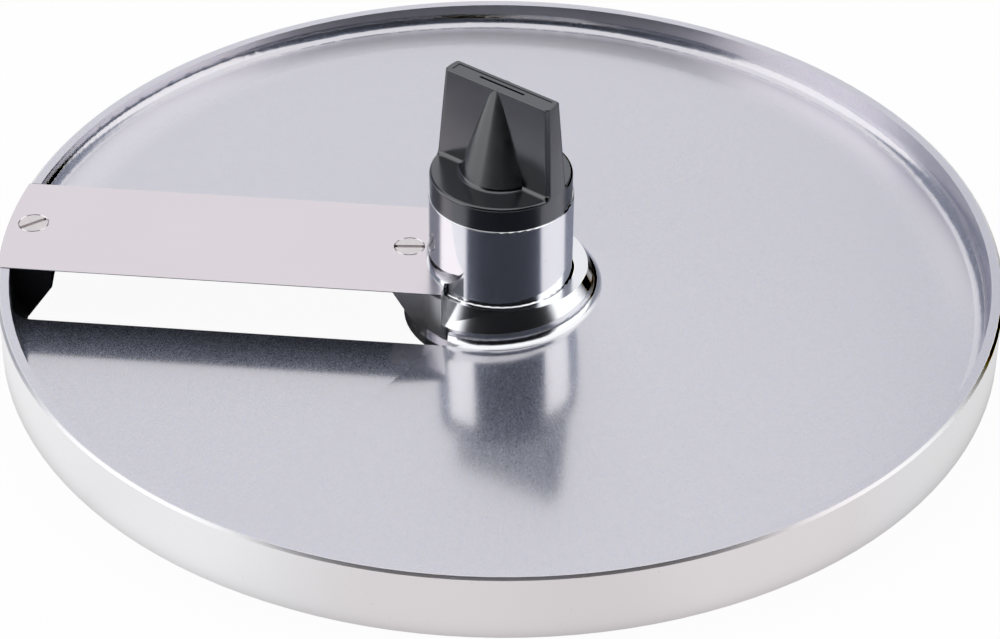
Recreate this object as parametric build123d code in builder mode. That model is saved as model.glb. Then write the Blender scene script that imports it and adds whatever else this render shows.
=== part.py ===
"""Slicing disc for a table-top vegetable cutter.

A cast aluminium disc carries one straight blade across its left half.  The plate inside the rim is a
helical ramp: it starts low in front of the cutting edge and climbs once round the hub, so that food
comes back to the blade at full height.  A black moulded knob sits on the hub as the lifting handle.

Frame: millimetres, +Z up, origin on the turning axis at the rim's bottom face, blade along -X with its
cutting edge towards -Y.
"""

import os
from math import cos, radians, sin, sqrt, tan

from build123d import *

# Rim and plate
disc_diameter = 185.0
rim_height = 13.1
rim_wall = 2.2
rim_top_chamfer = 0.45
rim_bottom_chamfer = 0.5
rim_foot_fillet = 2.4
plate_thickness = 3.0
underside_fillet = 1.5

# Helical ramp: angles are measured from +X, depths from the rim's top
ramp_start_angle = -120.0
ramp_start_depth = 9.75
ramp_end_depth = 2.5

# Hub
hub_radius = 13.4
hub_height_above_rim = 13.4
hub_edge_round = 0.2
cove_width = 1.1
cove_fillet = 0.25
cove_depth = 3.1
collar_radius = 17.15
collar_height = 2.5
collar_fillet = 1.8
collar_ledge_slope = 52.0
flare_setback = 0.15
skirt_radius = 18.0
drive_bore_diameter = 16.0
drive_hole_diameter = 5.0
drive_hole_depth = 6.0
hub_web = 3.8

# Throat under the blade
throat_reach = 17.2
throat_rear = 4.0
throat_hub_offset = 8.1
throat_corner_round = 2.0

# Blade and its two seats
blade_thickness = 1.2
blade_edge_offset = 14.9
blade_rear = 13.0
blade_tip_offset = 9.4
blade_end_radius = 22.2
blade_hub_gap = 0.3
blade_bevel_width = 2.6
blade_edge_land = 0.15
recess_front_gap = 0.3
recess_rear_gap = 0.1
seat_front_setback = 3.3
outer_seat_width = 9.4
outer_seat_drop = 4.9
outer_seat_foot = 4.9
inner_seat_reach = 19.5
inner_seat_knee = 14.6
inner_seat_knee_drop = 8.4
inner_seat_foot = 13.4
inner_seat_root = 10.2
inner_seat_rear = 7.0
seat_wall_radius = 17.6
seat_wall_bottom = 5.0
seat_wall_rear = -8.0

# Blade screws
screw_outer_inset = 4.65
screw_inner_offset = 16.95
screw_forward_offset = 0.1
screw_head_diameter = 5.8
screw_edge_break = 0.12
screw_shank_diameter = 3.0
screw_length = 7.0
screw_boss_radius = 3.3
thread_gap = 0.05
screw_slot_width = 0.8
screw_slot_depth = 0.6
screw_outer_slot_angle = 40.0
screw_inner_slot_angle = 5.0

# Knob
knob_radius = 13.1
knob_band_height = 4.7
knob_top_above_rim = 36.15
knob_angle = -32.4
knob_edge_round = 0.6
fin_foot_thickness = 5.4
fin_top_thickness = 3.8
fin_top_length = 23.5
fin_end_round = 0.8
fin_edge_round = 0.3
fin_foot_fillet = 0.8
bulge_radius = 7.6
bulge_run_out = 0.1
top_panel_margin = 0.8
top_panel_depth = 0.15
grip_slit_length = 10.0
grip_slit_width = 0.5
grip_slit_depth = 0.6
spigot_diameter = 14.0
spigot_length = 5.6
spigot_clearance = 0.1

# Knob screw, driven up through the hub's web
knob_screw_diameter = 4.0
knob_screw_head_diameter = 7.6
knob_screw_head_height = 2.6
knob_screw_bite = 9.0
knob_screw_recess = 0.4
knob_screw_socket = 3.0
knob_screw_socket_depth = 1.5
hole_clearance = 0.15

# Worked-out sizes
disc_radius = disc_diameter / 2
rim_inner_radius = disc_radius - rim_wall
hub_top = rim_height + hub_height_above_rim
ramp_arc = 180.0 - ramp_start_angle
land_arc = 180.0 + ramp_start_angle
ramp_rise = ramp_start_depth - ramp_end_depth
land_level = rim_height - ramp_start_depth
blade_bottom = rim_height - blade_thickness
collar_top = rim_height - cove_depth
cove_outer_radius = hub_radius + cove_width
throat_front = -throat_reach
throat_hub_end = -throat_hub_offset
blade_front = -blade_edge_offset
blade_inner_end = -blade_tip_offset
screw_outer_x = -disc_radius + screw_outer_inset
screw_inner_x = -screw_inner_offset
screw_y = -screw_forward_offset
seat_front = blade_front + seat_front_setback
blade_end_x = blade_end_radius - hub_radius - blade_hub_gap
flare_radius = collar_radius - flare_setback
knob_screw_seat = hub_top - spigot_length - spigot_clearance - hub_web
drive_bore_depth = knob_screw_seat - knob_screw_head_height - knob_screw_recess
drive_hole_offset = (skirt_radius + drive_bore_diameter / 2) / 2
outer_seat_radius = disc_radius - outer_seat_width
knob_deck = hub_top + knob_band_height
knob_top = rim_height + knob_top_above_rim
fin_height = knob_top - knob_deck
fin_base_width = fin_foot_thickness + 4 * fin_foot_fillet
fin_section_plane = Plane(
    origin=(0, 0, knob_deck),
    x_dir=(-sin(radians(knob_angle)), cos(radians(knob_angle)), 0),
    z_dir=(cos(radians(knob_angle)), sin(radians(knob_angle)), 0),
)
spare = 5.0

os.makedirs("parts", exist_ok=True)


def helix_path(radius):
    """One turn of the ramp, from the +X plane, at the given radius."""
    return Helix(pitch=ramp_rise * 360.0 / ramp_arc, height=ramp_rise, radius=radius)


def space_profile(floor):
    """Radial section of the open space above the plate, with its floor at the given height."""
    ledge_end = hub_radius - spare
    ledge_rise = (collar_radius - ledge_end) * tan(radians(collar_ledge_slope))
    ceiling = rim_height + ramp_start_depth
    with BuildSketch(Plane.XZ) as section:
        with BuildLine():
            Polyline(
                (collar_radius, floor + collar_height),
                (collar_radius, floor),
                (rim_inner_radius, floor),
                (rim_inner_radius, floor + ceiling),
                (ledge_end, floor + ceiling),
                (ledge_end, floor + collar_height + ledge_rise),
                close=True,
            )
        make_face()
        collar_foot = section.vertices().sort_by_distance((collar_radius, floor, 0))[0]
        fillet(collar_foot, collar_fillet)
        rim_foot = section.vertices().sort_by_distance((rim_inner_radius, floor, 0))[0]
        fillet(rim_foot, rim_foot_fillet)
    return section.sketch


def hollow_profile(ceiling):
    """Radial section of the open space below the plate, with its roof at the given height."""
    with BuildSketch(Plane.XZ) as section:
        with BuildLine():
            Polyline(
                (skirt_radius, ceiling - rim_height),
                (rim_inner_radius, ceiling - rim_height),
                (rim_inner_radius, ceiling),
                (skirt_radius, ceiling),
                close=True,
            )
        make_face()
        fillet(section.vertices().group_by(Axis.Y)[-1], underside_fillet)
    return section.sketch


# Space above the level landing in front of the cutting edge
with BuildPart() as landing_space:
    add(space_profile(land_level))
    revolve(axis=Axis.Z, revolution_arc=land_arc)

# Space above the ramp, swept up its helix
with BuildPart() as ramp_space:
    with BuildLine() as ramp_line:
        helix_path(rim_inner_radius)
    sweep(space_profile(land_level), path=ramp_line.line, is_frenet=True)

# Hollow below the ramp, one plate thickness lower
with BuildPart() as ramp_hollow:
    with BuildLine() as hollow_line:
        helix_path(rim_inner_radius)
    sweep(hollow_profile(land_level - plate_thickness), path=hollow_line.line, is_frenet=True)

# Outline of the blade, hollowed at its inner end to clear the hub
with BuildSketch() as blade_outline:
    with BuildLine():
        Polyline(
            (-disc_radius - spare, blade_front),
            (blade_inner_end, blade_front),
            (blade_inner_end, blade_rear),
            (-disc_radius - spare, blade_rear),
            close=True,
        )
    make_face()
    Circle(disc_radius, mode=Mode.INTERSECT)
    with Locations((blade_end_x, 0)):
        Circle(blade_end_radius, mode=Mode.SUBTRACT)

# Throat in plan, from the landing's edge to the ramp's upper end
with BuildSketch() as throat_outline:
    throat_left = -sqrt((rim_inner_radius - rim_foot_fillet) ** 2 - throat_front**2) - rim_wall / 2
    with BuildLine():
        Polyline(
            (throat_left, throat_front),
            (throat_hub_end, throat_front),
            (throat_hub_end, throat_rear),
            (throat_left, throat_rear),
            close=True,
        )
    make_face()
    fillet(throat_outline.vertices().sort_by(Axis.Y)[:2].sort_by(Axis.X)[0], throat_corner_round)

# Outer blade seat: a round corbel along the rim that ends inside the rim's wall
with BuildPart() as outer_seat:
    with BuildSketch(Plane.XZ):
        with BuildLine():
            Polyline(
                (disc_radius - rim_wall / 2, blade_bottom),
                (outer_seat_radius, blade_bottom),
                (outer_seat_radius, blade_bottom - outer_seat_drop),
                (outer_seat_radius + outer_seat_foot, 0),
                (disc_radius - rim_wall / 2, 0),
                close=True,
            )
        make_face()
    revolve(axis=Axis.Z)
    with BuildSketch():
        with BuildLine():
            Polyline(
                (-disc_radius, seat_front),
                (-disc_radius / 2, seat_front),
                (-disc_radius / 2, blade_rear),
                (-disc_radius, blade_rear),
                close=True,
            )
        make_face()
    extrude(amount=rim_height, mode=Mode.INTERSECT)

# Disc body: one casting with rim, ramp, blade seats and hub
with BuildPart() as disc_body:
    Cylinder(disc_radius, rim_height, align=(Align.CENTER, Align.CENTER, Align.MIN))
    rim_edges = disc_body.edges().filter_by(GeomType.CIRCLE).sort_by(Axis.Z)
    chamfer(rim_edges[-1], rim_top_chamfer)
    chamfer(rim_edges[0], rim_bottom_chamfer)
    add(landing_space.part, rotation=(0, 0, -180), mode=Mode.SUBTRACT)
    add(ramp_space.part, rotation=(0, 0, ramp_start_angle), mode=Mode.SUBTRACT)
    add(ramp_hollow.part, rotation=(0, 0, ramp_start_angle), mode=Mode.SUBTRACT)
    extrude(throat_outline.sketch, amount=rim_height, mode=Mode.SUBTRACT)

    # Room round the hub above the collar's top
    with BuildSketch(Plane.XY.offset(collar_top)):
        Circle(collar_radius + collar_fillet / 3)
    extrude(amount=rim_height, mode=Mode.SUBTRACT)

    # Hub tower with its cove, flare and skirt
    with BuildSketch(Plane.XZ) as tower:
        with BuildLine():
            Polyline(
                (0, 0),
                (skirt_radius, 0),
                (skirt_radius, land_level - plate_thickness / 2),
                (flare_radius, land_level - plate_thickness / 2),
                (flare_radius, land_level + collar_height),
                (cove_outer_radius, collar_top),
                (hub_radius, collar_top),
                (hub_radius, hub_top),
                (0, hub_top),
                close=True,
            )
        make_face()
        inner_corner = tower.vertices().sort_by_distance((hub_radius, collar_top, 0))[0]
        fillet(inner_corner, cove_fillet)
        top_corner = tower.vertices().sort_by_distance((hub_radius, hub_top, 0))[0]
        fillet(top_corner, hub_edge_round)
    revolve(axis=Axis.Z)

    # Outer blade seat, then the inner one: a corbel on the hub's side with a round front and a screw boss
    add(outer_seat.part)
    with BuildSketch(Plane.XZ.offset(-inner_seat_rear)):
        with BuildLine():
            Polyline(
                (-inner_seat_root, blade_bottom),
                (-inner_seat_reach, blade_bottom),
                (-inner_seat_knee, blade_bottom - inner_seat_knee_drop),
                (-inner_seat_foot, 0),
                (-inner_seat_root, 0),
                close=True,
            )
        make_face()
    extrude(amount=inner_seat_rear - seat_front)
    with BuildSketch(Plane.XY.offset(seat_wall_bottom)):
        Circle(seat_wall_radius)
        with BuildLine():
            Polyline(
                (-seat_wall_radius - spare, seat_wall_rear),
                (-seat_wall_radius - spare, -seat_wall_radius - spare),
                (blade_inner_end, -seat_wall_radius - spare),
                (blade_inner_end, seat_wall_rear),
                close=True,
            )
        make_face(mode=Mode.INTERSECT)
    extrude(amount=blade_bottom - seat_wall_bottom)
    with BuildSketch(Plane.XY.offset(blade_bottom)):
        with Locations((screw_inner_x, screw_y)):
            Circle(screw_boss_radius)
    extrude(amount=-screw_length)

    # Recess for the blade in the rim's top, with some room in front of the edge
    with BuildSketch(Plane.XY.offset(blade_bottom)):
        with BuildLine():
            Polyline(
                (-disc_radius - spare, blade_front - recess_front_gap),
                (-disc_radius / 2, blade_front - recess_front_gap),
                (-disc_radius / 2, blade_rear + recess_rear_gap),
                (-disc_radius - spare, blade_rear + recess_rear_gap),
                close=True,
            )
        make_face()
    extrude(amount=blade_thickness + spare, mode=Mode.SUBTRACT)

    # Tapped holes for the blade screws, with the countersink's run-out
    with Locations(*((x, screw_y, rim_height) for x in (screw_outer_x, screw_inner_x))):
        CounterSinkHole(
            radius=screw_shank_diameter / 2 + thread_gap,
            counter_sink_radius=screw_head_diameter / 2 + thread_gap,
            depth=screw_length + thread_gap,
            counter_sink_angle=90,
        )

    # Drive bore from below with a recess for the knob's screw, two drive holes and the knob's pocket on top
    with Locations(Plane.XY.rotated((180, 0, 0))):
        Hole(drive_bore_diameter / 2, depth=drive_bore_depth)
        Hole(knob_screw_head_diameter / 2 + hole_clearance, depth=knob_screw_seat)
        with Locations((-drive_hole_offset, 0), (drive_hole_offset, 0)):
            Hole(drive_hole_diameter / 2, depth=drive_hole_depth)
    with Locations((0, 0, hub_top)):
        Hole(spigot_diameter / 2 + spigot_clearance, depth=spigot_length + spigot_clearance)
        Hole(knob_screw_diameter / 2 + hole_clearance, depth=hub_top - knob_screw_seat)
disc_body.part.label = "disc_body"
export_step(disc_body.part, "parts/disc_body.step")

# Blade: flat stainless strip, ground on its underside and countersunk for two screws
with BuildPart() as blade:
    with BuildSketch(Plane.XY.offset(blade_bottom)):
        add(blade_outline.sketch)
    extrude(amount=blade_thickness)
    front_face = blade.faces().filter_by(Axis.Y).sort_by(Axis.Y)[0]
    lower_edge = front_face.edges().sort_by(Axis.Z)[0]
    chamfer(lower_edge, blade_thickness - blade_edge_land, blade_bevel_width, reference=front_face)
    with Locations(*((x, screw_y, rim_height) for x in (screw_outer_x, screw_inner_x))):
        CounterSinkHole(
            radius=screw_shank_diameter / 2 + hole_clearance,
            counter_sink_radius=screw_head_diameter / 2,
            counter_sink_angle=90,
        )
blade.part.label = "blade"
export_step(blade.part, "parts/blade.step")

# Two slotted countersunk screws, flush with the blade
with BuildPart() as blade_screws:
    head_height = (screw_head_diameter - screw_shank_diameter) / 2
    for x, slot_angle in ((screw_outer_x, screw_outer_slot_angle), (screw_inner_x, screw_inner_slot_angle)):
        with BuildSketch(Plane.XZ.offset(-screw_y)):
            with BuildLine():
                Polyline(
                    (x, rim_height),
                    (x + screw_head_diameter / 2 - 2 * screw_edge_break, rim_height),
                    (x + screw_head_diameter / 2 - screw_edge_break, rim_height - screw_edge_break),
                    (x + screw_shank_diameter / 2, rim_height - head_height),
                    (x + screw_shank_diameter / 2, rim_height - screw_length),
                    (x, rim_height - screw_length),
                    close=True,
                )
            make_face()
        revolve(axis=Axis((x, screw_y, 0), (0, 0, 1)))
        with BuildSketch(Plane(origin=(x, screw_y, rim_height))):
            Rectangle(screw_head_diameter + spare, screw_slot_width, rotation=slot_angle)
        extrude(amount=-screw_slot_depth, mode=Mode.SUBTRACT)
blade_screws.part.label = "blade_screws"
export_step(blade_screws.part, "parts/blade_screws.step")

# Fin of the knob: a tapered slab with a filleted foot, trimmed to the cap's round
with BuildPart() as fin:
    with BuildSketch(fin_section_plane) as fin_section:
        with BuildLine():
            Polyline(
                (-fin_base_width / 2, -knob_band_height),
                (fin_base_width / 2, -knob_band_height),
                (fin_base_width / 2, 0),
                (fin_foot_thickness / 2, 0),
                (fin_top_thickness / 2, fin_height),
                (-fin_top_thickness / 2, fin_height),
                (-fin_foot_thickness / 2, 0),
                (-fin_base_width / 2, 0),
                close=True,
            )
        make_face()
        foot_corners = fin_section.vertices().group_by(Axis.Y)[1].sort_by(Axis.X)[1:-1]
        fillet(foot_corners, fin_foot_fillet)
    extrude(amount=knob_radius, both=True)
    with BuildSketch(Plane.XZ):
        with BuildLine():
            Polyline(
                (0, hub_top),
                (knob_radius, hub_top),
                (knob_radius, knob_deck),
                (fin_top_length / 2, knob_top),
                (0, knob_top),
                close=True,
            )
        make_face()
    revolve(axis=Axis.Z, mode=Mode.INTERSECT)
    fillet(fin.edges().filter_by(lambda edge: edge.bounding_box().size.Z > fin_height / 2), fin_end_round)
    fillet(fin.faces().sort_by(Axis.Z)[-1].edges(), fin_edge_round)

# Knob: round cap, the fin across it, a cone swelling at the fin's middle and a spigot into the hub
with BuildPart() as knob:
    with BuildSketch(Plane.XY.offset(hub_top)):
        Circle(knob_radius)
    extrude(amount=knob_band_height)
    fillet(knob.edges().filter_by(GeomType.CIRCLE).sort_by(Axis.Z)[-1], knob_edge_round)
    add(fin.part)
    with BuildSketch(Plane.XZ) as bulge:
        with BuildLine():
            Polyline(
                (0, hub_top),
                (bulge_radius + 2 * fin_foot_fillet, hub_top),
                (bulge_radius + 2 * fin_foot_fillet, knob_deck),
                (bulge_radius, knob_deck),
                (fin_top_thickness / 2 - bulge_run_out, knob_top),
                (0, knob_top),
                close=True,
            )
        make_face()
        bulge_foot = bulge.vertices().sort_by_distance((bulge_radius, knob_deck, 0))[0]
        fillet(bulge_foot, fin_foot_fillet)
    revolve(axis=Axis.Z)
    with BuildSketch(Plane.XY.offset(knob_top)):
        Rectangle(
            fin_top_length - 2 * fin_end_round - top_panel_margin,
            fin_top_thickness - 2 * top_panel_margin,
            rotation=knob_angle,
        )
    extrude(amount=-top_panel_depth, mode=Mode.SUBTRACT)
    with BuildSketch(Plane.XY.offset(knob_top)):
        Rectangle(grip_slit_length, grip_slit_width, rotation=knob_angle)
    extrude(amount=-grip_slit_depth, mode=Mode.SUBTRACT)
    with BuildSketch(Plane.XY.offset(hub_top)):
        Circle(spigot_diameter / 2)
    extrude(amount=-spigot_length)
    with Locations(Plane.XY.offset(hub_top - spigot_length).rotated((180, 0, 0))):
        Hole(knob_screw_diameter / 2 + thread_gap, depth=spigot_length + knob_screw_bite)
knob.part.label = "knob"
export_step(knob.part, "parts/knob.step")

# Knob screw: button head under the hub's web, shank up into the knob
with BuildPart() as knob_screw:
    with BuildSketch(Plane.XY.offset(knob_screw_seat)):
        Circle(knob_screw_head_diameter / 2)
    extrude(amount=-knob_screw_head_height)
    fillet(knob_screw.edges().sort_by(Axis.Z)[0], knob_screw_head_height / 2)
    with BuildSketch(Plane.XY.offset(knob_screw_seat - knob_screw_head_height)):
        RegularPolygon(knob_screw_socket / 2, 6)
    extrude(amount=knob_screw_socket_depth, mode=Mode.SUBTRACT)
    with BuildSketch(Plane.XY.offset(knob_screw_seat)):
        Circle(knob_screw_diameter / 2)
    extrude(amount=hub_top + knob_screw_bite - spigot_clearance - knob_screw_seat)
knob_screw.part.label = "knob_screw"
export_step(knob_screw.part, "parts/knob_screw.step")
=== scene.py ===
# %% [markdown]
# # A slicing disc, dressed for the studio
# The disc comes from the workshop as solid pieces: a cast body, a blade, two screws, a knob and its screw.
# This lesson keeps those pieces where they are and gives them their finish. Bare metal has almost no colour
# of its own, so most of the work lies in two things: how smooth each surface is, and what there is to
# reflect.

# %% Load the frame
import math

import bmesh
import bpy
from mathutils import Matrix, Vector


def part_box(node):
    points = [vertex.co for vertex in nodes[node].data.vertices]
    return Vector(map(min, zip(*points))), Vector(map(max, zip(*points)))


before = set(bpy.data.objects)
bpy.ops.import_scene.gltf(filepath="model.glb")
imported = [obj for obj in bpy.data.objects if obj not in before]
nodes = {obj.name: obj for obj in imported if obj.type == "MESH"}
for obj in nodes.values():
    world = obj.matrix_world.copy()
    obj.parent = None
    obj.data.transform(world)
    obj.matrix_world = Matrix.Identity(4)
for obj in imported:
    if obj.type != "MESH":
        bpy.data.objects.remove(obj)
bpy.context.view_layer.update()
scene = bpy.context.scene
scene.view_settings.view_transform = "Standard"

# Lengths are in metres. The blade's top is flush with the rim. No box tells where the throat's front edge is,
# so that place is written out.
rim_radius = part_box("disc_body")[1].x
rim_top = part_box("blade")[1].z
blade_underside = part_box("blade")[0].z
blade_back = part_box("blade")[1].y
hub_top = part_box("disc_body")[1].z
knob_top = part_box("knob")[1].z
throat_front = -0.0172
print("nodes:", sorted(nodes), "rim", round(rim_radius * 1000, 1), "mm")

# %% [markdown]
# ## Camera
# The disc was photographed with a long lens, from 36 degrees above and about 5 degrees to the right of
# straight in front. A camera matrix is built from its three axes, because a slight roll is easier to add
# there than to Euler angles.

# %% Camera
view_azimuth = math.radians(5.3)
view_elevation = math.radians(36.0)
view_roll = math.radians(0.517)
view_distance = 0.5563
view_aim = Vector((0.0020, -0.0213, rim_top))
focal_length = 111.5

towards_camera = Vector((
    math.sin(view_azimuth) * math.cos(view_elevation),
    -math.cos(view_azimuth) * math.cos(view_elevation),
    math.sin(view_elevation),
))
level_right = Vector((0, 0, 1)).cross(towards_camera).normalized()
level_up = towards_camera.cross(level_right)
right = level_right * math.cos(view_roll) + level_up * math.sin(view_roll)
up = towards_camera.cross(right)

camera_data = bpy.data.cameras.new("studio_camera")
camera_data.lens = focal_length
camera_data.sensor_width = 36.0
camera_data.clip_start = 0.01
camera = bpy.data.objects.new("studio_camera", camera_data)
scene.collection.objects.link(camera)
camera.matrix_world = Matrix.Translation(view_aim + towards_camera * view_distance) @ Matrix((
    (right.x, up.x, towards_camera.x),
    (right.y, up.y, towards_camera.y),
    (right.z, up.z, towards_camera.z),
)).to_4x4()
scene.camera = camera
print("camera at", [round(value, 3) for value in camera.matrix_world.translation])

# %% [markdown]
# ## Sums with sockets
# A finish is a small sum: a level plus some noise, or a mask times the change from one level to another.
# Wiring Math nodes by hand hides that sum, so one class wraps a socket and lets Python's own operators add
# the nodes. Its `rise` makes the masks: a pair of values says where a zone starts and where it is full.


# %% A socket that can be added and multiplied
class Wire:
    """An output socket of a node tree, for use in Python expressions."""

    def __init__(self, tree, socket):
        self.tree = tree
        self.socket = socket

    @staticmethod
    def node(tree, kind, settings, sockets, output=0):
        """Adds one node: its settings first, then the values or wires of its sockets."""
        made = tree.nodes.new(kind)
        for name, value in settings.items():
            setattr(made, name, value)
        for name, value in sockets.items():
            if isinstance(value, Wire):
                tree.links.new(value.socket, made.inputs[name])
            else:
                made.inputs[name].default_value = value
        return Wire(tree, made.outputs[output])

    def sum(self, operation, first, second):
        return Wire.node(self.tree, "ShaderNodeMath", {"operation": operation}, {0: first, 1: second})

    def __add__(self, other):
        return self.sum("ADD", self, other)

    __radd__ = __add__

    def __sub__(self, other):
        return self.sum("SUBTRACT", self, other)

    def __rsub__(self, other):
        return self.sum("SUBTRACT", other, self)

    def __mul__(self, other):
        return self.sum("MULTIPLY", self, other)

    def __truediv__(self, other):
        return self.sum("DIVIDE", self, other)

    def __pow__(self, other):
        return self.sum("POWER", self, other)

    def least(self, other):
        return self.sum("MINIMUM", self, other)

    def most(self, other):
        return self.sum("MAXIMUM", self, other)

    def rise(self, start, end):
        """0 before start, 1 after end, with a soft step between; start may be the larger."""
        settings = {"interpolation_type": "SMOOTHSTEP"}
        low, high = min(start, end), max(start, end)
        sockets = {"Value": self, "From Min": low, "From Max": high}
        step = Wire.node(self.tree, "ShaderNodeMapRange", settings, sockets)
        return step if start < end else 1 - step


def mix_colour(tree, factor, first, second):
    settings = {"data_type": "RGBA"}
    return Wire.node(tree, "ShaderNodeMix", settings, {0: factor, 6: first, 7: second}, output=2)


def axes(vector):
    kind = "ShaderNodeSeparateXYZ"
    return [Wire.node(vector.tree, kind, {}, {0: vector}, output=place) for place in range(3)]


def new_material(name):
    """An empty metal or plastic: its tree, its Principled shader and the object's own coordinates."""
    material = bpy.data.materials.new(name)
    material.use_nodes = True
    tree = material.node_tree
    shader = tree.nodes["Principled BSDF"]
    place = Wire.node(tree, "ShaderNodeTexCoord", {}, {}, output=3)
    return material, tree, shader, place


def noise(tree, place, scale, detail=3.0, roughness=0.5):
    sockets = {"Vector": place, "Scale": scale, "Detail": detail, "Roughness": roughness}
    return Wire.node(tree, "ShaderNodeTexNoise", {}, sockets)


def connect(tree, shader, **inputs):
    for name, wire in inputs.items():
        tree.links.new(wire.socket, shader.inputs[name.replace("_", " ").title()])


print("socket maths ready")

# %% [markdown]
# ## Studio
# A polished plate shows the room. Bright panels stand to the left and right, a pale wall stands behind the
# disc with dim corners beside it, and the room behind the camera is unlit; that dark room is what blackens
# the front of the hub. The room is written as a sum on the direction of a ray, and its edges are soft. The
# right panel stops short of the floor, the ceiling starts higher on the camera's side, and the dark part is
# a little blue.

# %% Studio room
room_turn = math.radians(4.4)
dark_room = 0.006
left_panel = 1.32
right_panel = 1.28
wall_corner = 0.28
back_wall = 0.91
ceiling = 1.05
shade_blue = (0.70, 0.76, 1.0, 1)
white = (1, 1, 1, 1)

# Edges on `facing`, which runs from 1, nearly towards the camera, to -1, straight away from there.
panel_edge = (0.57, 0.44)
corner_edge = (-0.34, -0.50)
wall_edge = (-0.90, -0.985)
ceiling_turn = (-0.7, 0.7)

# Edges on `rightward`, which is 1 on the right and -1 on the left.
panel_change = (-0.3, 0.3)
right_part = (0.0, 0.4)

# Edges on `height`, which is the sine of the ray's elevation.
right_panel_foot = (0.30, 0.12)
ceiling_low = 0.67
ceiling_gain = 0.15
ceiling_softness = 0.09

world = bpy.data.worlds.new("studio_room")
scene.world = world
world.use_nodes = True
room = world.node_tree
room.nodes.clear()
ray = Wire.node(room, "ShaderNodeTexCoord", {}, {}, output=0)
east, north, height = axes(ray)
room_azimuth = view_azimuth + room_turn
level = (1 - height * height).most(0.0001) ** 0.5
facing = (east * math.sin(room_azimuth) - north * math.cos(room_azimuth)) / level
rightward = (east * math.cos(room_azimuth) + north * math.sin(room_azimuth)) / level

side_panel = left_panel + rightward.rise(*panel_change) * (right_panel - left_panel)
raised = 1 - rightward.rise(*right_part) * height.rise(*right_panel_foot)
glow = dark_room + facing.rise(*panel_edge) * raised * (side_panel - dark_room)
glow = glow + facing.rise(*corner_edge) * (wall_corner - side_panel)
glow = glow + facing.rise(*wall_edge) * (back_wall - wall_corner)
ceiling_edge = ceiling_low + facing.rise(*ceiling_turn) * ceiling_gain
overhead = (height - ceiling_edge).rise(0.0, ceiling_softness)
glow = glow + overhead * (ceiling - glow)
tint = mix_colour(room, glow.least(1.0), shade_blue, white)
background = Wire.node(room, "ShaderNodeBackground", {}, {"Color": tint, "Strength": glow})
room_output = room.nodes.new("ShaderNodeOutputWorld")
room.links.new(background.socket, room_output.inputs["Surface"])
print("studio room with", len(room.nodes), "nodes")

# %% [markdown]
# ## Floor
# The floor is a wide pale sheet. To the camera, and in reflections, most of its light is its own, so it reads
# as white paper and still keeps a faint shadow; all other rays meet an ordinary matte surface. In
# reflections its own light is less in four places: under the disc there is none, towards the dark room and
# on the right some is missing, and far out on the right hardly any is left.

# %% Floor
floor_size = 6.0
paper_grey = (0.82, 0.82, 0.82, 1)
paper_light = 0.95
own_share = 0.93
clear_of_disc = (rim_radius * 0.93, rim_radius * 1.04)
front_edge = (-0.86, -0.995)
front_loss = 0.17
right_edge = (0.0, 0.5)
right_loss = 0.14
far_right_edge = (0.15, 0.30)
far_right_loss = 0.95

floor_mesh = bpy.data.meshes.new("floor")
sheet = bmesh.new()
bmesh.ops.create_grid(sheet, x_segments=1, y_segments=1, size=floor_size / 2)
sheet.to_mesh(floor_mesh)
sheet.free()
floor = bpy.data.objects.new("floor", floor_mesh)
scene.collection.objects.link(floor)

paper = bpy.data.materials.new("white_paper")
paper.use_nodes = True
tree = paper.node_tree
tree.nodes.clear()
path = tree.nodes.new("ShaderNodeLightPath")
camera_ray, glossy_ray, clear_ray = (
    Wire(tree, path.outputs[name]) for name in ("Is Camera Ray", "Is Glossy Ray", "Is Transmission Ray")
)
across, along, _ = axes(Wire.node(tree, "ShaderNodeTexCoord", {}, {}, output=3))
from_axis = (across * across + along * along) ** 0.5
lit = from_axis.rise(*clear_of_disc)
lit = lit * (1 - (along / from_axis).rise(*front_edge) * front_loss)
lit = lit * (1 - (across / from_axis).rise(*right_edge) * right_loss)
lit = lit * (1 - across.rise(*far_right_edge) * far_right_loss)
shown = camera_ray.most(glossy_ray * lit).most(clear_ray)
seen = camera_ray.most(glossy_ray).most(clear_ray)
own_light = Wire.node(tree, "ShaderNodeEmission", {}, {"Strength": shown * paper_light})
matte = Wire.node(tree, "ShaderNodeBsdfDiffuse", {}, {"Color": paper_grey})
dimmed = Wire.node(tree, "ShaderNodeMixShader", {}, {0: seen * own_share, 1: matte})
paper_sum = Wire.node(tree, "ShaderNodeAddShader", {}, {0: own_light, 1: dimmed})
paper_output = tree.nodes.new("ShaderNodeOutputMaterial")
tree.links.new(paper_sum.socket, paper_output.inputs["Surface"])
floor_mesh.materials.append(paper)
print("floor", floor_size, "m across")


# %% [markdown]
# ## Cast aluminium
# One casting shows several finishes. The hub is turned bright, and the collar at its foot is a little duller,
# most of all beside the blade. The plate is polished under a fine blue-grey haze, and along the back it turns
# satin towards the rim, where its colour is also painted lighter against the dark band that the rim's wall
# leaves in its reflection. The outside of the rim is satin too, and slightly warmer at the front. The
# underside and the throat are left nearly as they were cast, and the outer blade seat inside the throat gets
# painted shade, almost black. Radius, height and direction tell these places apart.

# %% Zones of the casting
# Places are in metres; the pairs for the rim's front and for faces that look down are shares of a direction.
hub_edge = (0.0190, 0.0184)
hub_floor = (0.0030, 0.0034)
collar_edge = (0.0138, 0.0142)
beside_blade = (-0.0082, -0.0090)
rim_skin = (rim_radius - 0.0008, rim_radius - 0.0003)
foot_inside = (0.0780, 0.0860)
foot_outside = (0.0886, 0.0880)
foot_back = (-0.020, 0.020)
rim_front = (0.78, 0.94)
facing_down = (-0.15, -0.45)
throat_right = (-0.0122, -0.0132)
throat_hub = (0.0138, 0.0144)
outer_seat_edge = (-0.0785, -0.0810)
throat_softness = 0.0002
front_x = 0.31
front_y = -0.95
speck_level = (0.74, 0.80)
haze_level = (0.560, 0.580)

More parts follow.
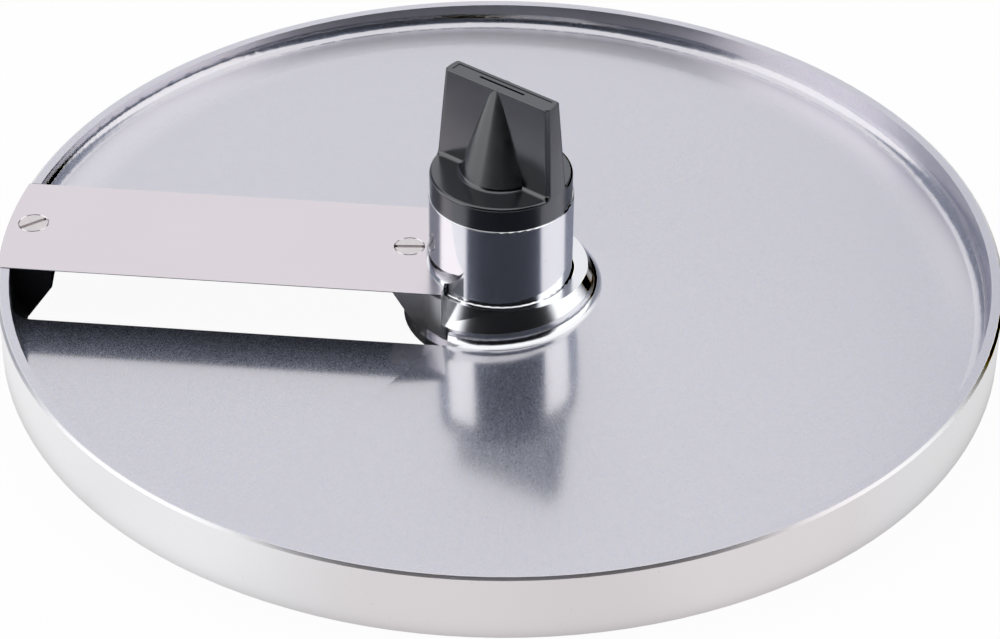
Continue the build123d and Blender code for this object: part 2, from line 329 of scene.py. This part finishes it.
plate_rough = 0.13
haze_rough = 0.32
foot_rough = 0.42
rim_rough = 0.32
hub_rough = 0.07
collar_rough = 0.11
blade_side_rough = 0.25
cast_rough = 0.50

plate_dark = (0.72, 0.68, 0.68, 1)
plate_light = (0.76, 0.72, 0.72, 1)
haze_blue = (0.61, 0.67, 0.85, 1)
# Partly painted light: a paler colour for the satin foot along the back, which lightens the dark band that
# the rim's wall leaves in the plate's reflection.
satin_foot_painted_light = (0.83, 0.81, 0.86, 1)
rim_pale = (0.875, 0.87, 0.885, 1)
rim_warm = (0.865, 0.82, 0.835, 1)
hub_bright = (0.905, 0.915, 0.935, 1)
as_cast = (0.75, 0.75, 0.76, 1)
# Painted shade: an almost black colour for the outer blade seat inside the throat, where shade and dark
# reflections fall.
seat_painted_shade = (0.05, 0.05, 0.055, 1)
speck_grey = (0.45, 0.45, 0.47, 1)


# %% Cast aluminium
def cast_aluminium():
    material, tree, shader, place = new_material("polished_casting")
    x, y, z = axes(place)
    radius = (x * x + y * y) ** 0.5
    normal = Wire.node(tree, "ShaderNodeNewGeometry", {}, {}, output=1)
    below = axes(normal)[2].rise(*facing_down)
    hub = radius.rise(*hub_edge) * z.rise(*hub_floor)
    rim_face = radius.rise(*rim_skin)
    # The foot along the back has real satin roughness, and a painted lighter colour against the wall's dark
    # reflection.
    foot = radius.rise(*foot_inside) * radius.rise(*foot_outside) * y.rise(*foot_back)
    throat = (
        x.rise(*throat_right)
        * radius.rise(*throat_hub)
        * (1 - rim_face)
        * y.rise(throat_front - throat_softness, throat_front + throat_softness)
        * y.rise(blade_back + throat_softness, blade_back - throat_softness)
        * z.rise(blade_underside + throat_softness, blade_underside - throat_softness)
    )
    rough_cast = below.most(throat)
    # Painted shade mask: the outer blade seat inside the throat, leaving out faces that look down.
    outer_seat_shade = throat * x.rise(*outer_seat_edge) * (1 - below)
    warm = ((x * front_x + y * front_y) / radius).rise(*rim_front)

    cloud = noise(tree, place, 70.0, 4.0, 0.6)
    fine = noise(tree, place, 900.0, 2.0)
    specks = noise(tree, place, 1500.0, 1.0).rise(*speck_level)
    haze = noise(tree, place, 16000.0, 0.0).rise(*haze_level)

    tone = (cloud - 0.5) * 0.5 + 0.5
    colour = mix_colour(tree, tone.least(1.0).most(0.0), plate_dark, plate_light)
    colour = mix_colour(tree, haze, colour, haze_blue)
    # Paint the lighter colour onto the back foot.
    colour = mix_colour(tree, foot, colour, satin_foot_painted_light)
    colour = mix_colour(tree, rim_face, colour, mix_colour(tree, warm, rim_pale, rim_warm))
    colour = mix_colour(tree, hub, colour, hub_bright)
    colour = mix_colour(tree, rough_cast, colour, as_cast)
    # Paint the shade onto the outer blade seat.
    colour = mix_colour(tree, outer_seat_shade, colour, seat_painted_shade)
    colour = mix_colour(tree, specks * 0.25, colour, speck_grey)

    collar_dulling = radius.rise(*collar_edge) * (collar_rough + x.rise(*beside_blade) * blade_side_rough)
    rough = plate_rough + (cloud - 0.5) * 0.06 + haze * haze_rough
    rough = rough + foot * (foot_rough - rough)
    rough = rough + rim_face * (rim_rough - rough)
    rough = rough + hub * (hub_rough + collar_dulling - rough)
    rough = rough + rough_cast * (cast_rough + (fine - 0.5) * 0.2 - rough)

    bump = Wire.node(tree, "ShaderNodeBump", {}, {
        "Strength": 0.25,
        "Distance": 0.0001,
        "Height": cloud * (1 - hub) * 0.25 + fine * below * 2.0 + specks * -0.3,
    })
    shader.inputs["Metallic"].default_value = 1.0
    connect(tree, shader, base_color=colour, roughness=rough, normal=bump)
    return material


nodes["disc_body"].material_slots[0].material = cast_aluminium()
print("casting dressed")


# %% [markdown]
# ## Ground blade steel
# The blade is flat stainless strip, ground along its length. The grinding shows as very fine lines, made here
# by stretching noise along the blade.


# %% Blade steel
def ground_steel():
    material, tree, shader, place = new_material("ground_blade_steel")
    stretch = Wire.node(tree, "ShaderNodeMapping", {}, {"Vector": place, "Scale": (12.0, 900.0, 300.0)})
    lines = noise(tree, stretch, 1.0, 3.0)
    cloud = noise(tree, place, 45.0, 3.0)
    darker = (0.77, 0.717, 0.75, 1)
    paler = (0.815, 0.762, 0.793, 1)
    colour = mix_colour(tree, lines * 0.4 + cloud * 0.6, darker, paler)
    rough = 0.20 + (lines - 0.5) * 0.1
    bump = Wire.node(tree, "ShaderNodeBump", {}, {"Strength": 0.12, "Distance": 0.00002, "Height": lines})
    shader.inputs["Metallic"].default_value = 1.0
    connect(tree, shader, base_color=colour, roughness=rough, normal=bump)
    return material


nodes["blade"].material_slots[0].material = ground_steel()
print("blade dressed")


# %% [markdown]
# ## Turned screws
# A small screw is turned bright and handled with a screwdriver: a very fine grain, patches of wear, and a
# slightly deeper grey than the blade's.


# %% Screw steel
def turned_steel():
    material, tree, shader, place = new_material("turned_screw_steel")
    grain = noise(tree, place, 2600.0, 2.0)
    wear = noise(tree, place, 500.0, 3.0)
    colour = mix_colour(tree, wear, (0.68, 0.64, 0.64, 1), (0.80, 0.76, 0.76, 1))
    rough = 0.22 + (grain - 0.5) * 0.15
    bump = Wire.node(tree, "ShaderNodeBump", {}, {"Strength": 0.2, "Distance": 0.00003, "Height": grain})
    shader.inputs["Metallic"].default_value = 1.0
    connect(tree, shader, base_color=colour, roughness=rough, normal=bump)
    return material


screw_finish = turned_steel()
for name in ("blade_screws", "knob_screw"):
    nodes[name].material_slots[0].material = screw_finish
print("screws dressed")


# %% [markdown]
# ## Moulded knob
# The knob is black plastic from a steel mould: a smooth satin skin with a very fine grain, smeared a little
# greyer towards the top of the fin, where fingers hold it.

# %% Knob plastic
handled_from = hub_top + 0.008


def moulded_black():
    material, tree, shader, place = new_material("moulded_black")
    _, _, z = axes(place)
    grain = noise(tree, place, 3200.0, 2.0)
    smear = noise(tree, place, 160.0, 3.0)
    handled = z.rise(handled_from, knob_top)
    clean = (0.0025, 0.003, 0.005, 1)
    rubbed = (0.006, 0.0065, 0.010, 1)
    colour = mix_colour(tree, smear * (0.4 + handled * 0.6), clean, rubbed)
    rough = 0.20 + (smear - 0.5) * 0.12
    bump = Wire.node(tree, "ShaderNodeBump", {}, {
        "Strength": 0.3,
        "Distance": 0.00001,
        "Height": grain + smear * 0.8,
    })
    shader.inputs["IOR"].default_value = 1.69
    shader.inputs["Specular Tint"].default_value = (0.93, 0.96, 1.0, 1)
    shader.inputs["Specular IOR Level"].default_value = 1.0
    connect(tree, shader, base_color=colour, roughness=rough, normal=bump)
    return material


nodes["knob"].material_slots[0].material = moulded_black()
print("knob dressed")
